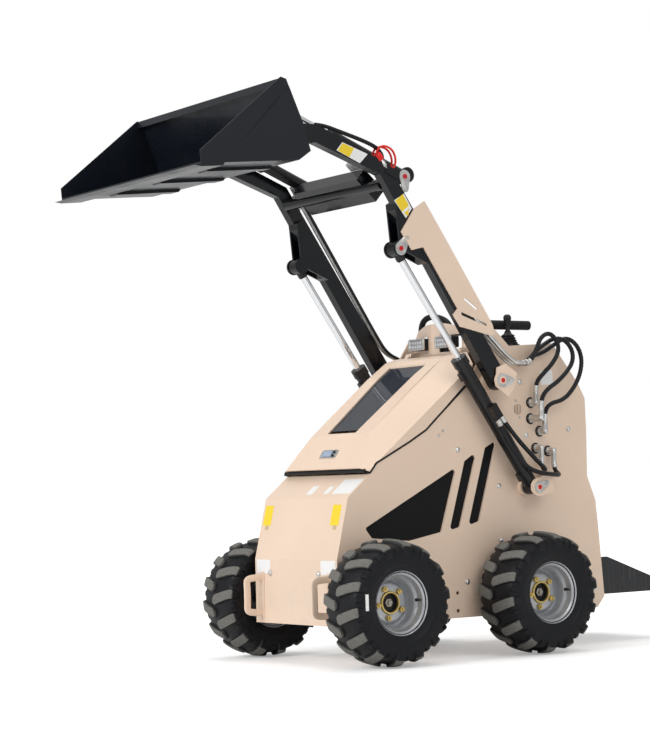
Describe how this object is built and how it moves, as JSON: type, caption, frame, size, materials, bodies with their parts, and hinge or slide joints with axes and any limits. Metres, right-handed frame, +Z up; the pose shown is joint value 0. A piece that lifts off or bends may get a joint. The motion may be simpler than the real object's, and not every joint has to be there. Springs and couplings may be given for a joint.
{
  "type": "skid steer loader",
  "caption": "Stand-on compact skid steer loader with raised radial lift arms, a wide bucket, sloped engine hood, operator platform and lugged tyres.",
  "frame": {"origin": "centre of the overall bounding box in plan, on the ground", "axes": "+X forward to the bucket, +Y to the machine's left, +Z up"},
  "size_m": [2.3884, 1.064, 2.1557],
  "materials": {
    "tan_paint": "satin powder coat",
    "black_paint": "gloss",
    "wheel_silver": "satin",
    "tyre": "matte",
    "engine": "matte",
    "screen": "matte",
    "chrome": "polished",
    "zinc": "zinc plated",
    "foam": "matte",
    "lamp": "clear over reflector",
    "hose": "spiral wrapped"
  },
  "bodies": {
    "chassis": {"belly_pan": "tan_paint", "bulkhead_fittings": "zinc", "console": "tan_paint", "control_levers": "foam", "cylinder_brackets": "tan_paint", "deck_plate": "tan_paint", "drive_hubs": "engine", "engine_block": "engine", "front_loops": "black_paint", "front_panel": "tan_paint", "grab_bars": "foam", "hood_seal": "foam", "hose_arm_1": "hose", "hose_arm_2": "hose", "hose_arm_3": "hose", "hose_lift_1": "hose", "hose_lift_2": "hose", "pivot_brackets": "tan_paint", "platform": "black_paint", "rear_panel": "tan_paint", "side_plate_left": "tan_paint", "side_plate_right": "tan_paint", "vent_screens": "screen", "work_lamps": "lamp"},
    "hood_body": {"hood": "tan_paint", "hood_window": "screen", "hood_latch": "zinc"},
    "boom": {"boom_arm_left": "black_paint", "boom_arm_right": "black_paint", "cross_member": "black_paint", "arm_covers": "tan_paint", "boom_pipes": "zinc", "couplers": "zinc"},
    "bucket": {"bucket_shell": "black_paint", "cutting_edge": "black_paint", "quick_attach": "black_paint"},
    "lift_barrel_left_body": {"lift_barrel_left": "black_paint"},
    "lift_rod_left_body": {"lift_rod_left": "chrome"},
    "tilt_barrel_left_body": {"tilt_barrel_left": "black_paint"},
    "tilt_rod_left_body": {"tilt_rod_left": "chrome"},
    "wheel_front_left": {"tyre_front_left": "tyre", "rim_front_left": "wheel_silver"},
    "wheel_rear_left": {"tyre_rear_left": "tyre", "rim_rear_left": "wheel_silver"},
    "lift_barrel_right_body": {"lift_barrel_right": "black_paint"},
    "lift_rod_right_body": {"lift_rod_right": "chrome"},
    "tilt_barrel_right_body": {"tilt_barrel_right": "black_paint"},
    "tilt_rod_right_body": {"tilt_rod_right": "chrome"},
    "wheel_front_right": {"tyre_front_right": "tyre", "rim_front_right": "wheel_silver"},
    "wheel_rear_right": {"tyre_rear_right": "tyre", "rim_rear_right": "wheel_silver"}
  },
  "joints": [
    {"name": "boom_lift", "type": "hinge", "parent": "chassis", "child": "boom", "pos_m": [-0.2728, 0, 1.069], "axis": [0, -1, 0], "range_deg": [-88, 0]},
    {"name": "bucket_tilt", "type": "hinge", "parent": "boom", "child": "bucket", "pos_m": [0.6522, 0, 1.99], "axis": [0, 1, 0], "range_deg": [-115, 38]},
    {"name": "hood_hinge", "type": "hinge", "parent": "chassis", "child": "hood_body", "pos_m": [-0.2378, 0, 1.197], "axis": [0, -1, 0], "range_deg": [0, 50]},
    {"name": "lift_swing_left", "type": "hinge", "parent": "chassis", "child": "lift_barrel_left_body", "pos_m": [-0.4478, 0.336, 0.647], "axis": [0, -1, 0], "range_deg": [-58, 1]},
    {"name": "lift_slide_left", "type": "slide", "parent": "lift_barrel_left_body", "child": "lift_rod_left_body", "axis": [0.5686, 0, 0.8226], "range_m": [-0.43, 0.002]},
    {"name": "tilt_swing_left", "type": "hinge", "parent": "boom", "child": "tilt_barrel_left_body", "pos_m": [0.1122, 0.285, 1.866], "axis": [0, -1, 0], "range_deg": [-6, 2]},
    {"name": "tilt_slide_left", "type": "slide", "parent": "tilt_barrel_left_body", "child": "tilt_rod_left_body", "axis": [0.9257, 0, 0.3782], "range_m": [-0.195, 0.066]},
    {"name": "wheel_spin_front_left", "type": "hinge", "parent": "chassis", "child": "wheel_front_left", "pos_m": [0.3522, 0.428, 0.238], "axis": [0, 1, 0], "continuous": true},
    {"name": "wheel_spin_rear_left", "type": "hinge", "parent": "chassis", "child": "wheel_rear_left", "pos_m": [-0.3778, 0.428, 0.238], "axis": [0, 1, 0], "continuous": true},
    {"name": "lift_swing_right", "type": "hinge", "parent": "chassis", "child": "lift_barrel_right_body", "pos_m": [-0.4478, -0.336, 0.647], "axis": [0, -1, 0], "range_deg": [-58, 1]},
    {"name": "lift_slide_right", "type": "slide", "parent": "lift_barrel_right_body", "child": "lift_rod_right_body", "axis": [0.5686, 0, 0.8226], "range_m": [-0.43, 0.002]},
    {"name": "tilt_swing_right", "type": "hinge", "parent": "boom", "child": "tilt_barrel_right_body", "pos_m": [0.1122, -0.285, 1.866], "axis": [0, -1, 0], "range_deg": [-6, 2]},
    {"name": "tilt_slide_right", "type": "slide", "parent": "tilt_barrel_right_body", "child": "tilt_rod_right_body", "axis": [0.9257, 0, 0.3782], "range_m": [-0.195, 0.066]},
    {"name": "wheel_spin_front_right", "type": "hinge", "parent": "chassis", "child": "wheel_front_right", "pos_m": [0.3522, -0.428, 0.238], "axis": [0, 1, 0], "continuous": true},
    {"name": "wheel_spin_rear_right", "type": "hinge", "parent": "chassis", "child": "wheel_rear_right", "pos_m": [-0.3778, -0.428, 0.238], "axis": [0, 1, 0], "continuous": true}
  ],
  "couplings": [
    {"joint": "lift_swing_left", "follows": "boom_lift", "ratio": 0.652},
    {"joint": "lift_slide_left", "follows": "boom_lift", "m_per_rad": 0.2767},
    {"joint": "tilt_swing_left", "follows": "bucket_tilt", "ratio": 0.05},
    {"joint": "tilt_slide_left", "follows": "bucket_tilt", "m_per_rad": 0.095},
    {"joint": "lift_swing_right", "follows": "boom_lift", "ratio": 0.652},
    {"joint": "lift_slide_right", "follows": "boom_lift", "m_per_rad": 0.2767},
    {"joint": "tilt_swing_right", "follows": "bucket_tilt", "ratio": 0.05},
    {"joint": "tilt_slide_right", "follows": "bucket_tilt", "m_per_rad": 0.095}
  ]
}
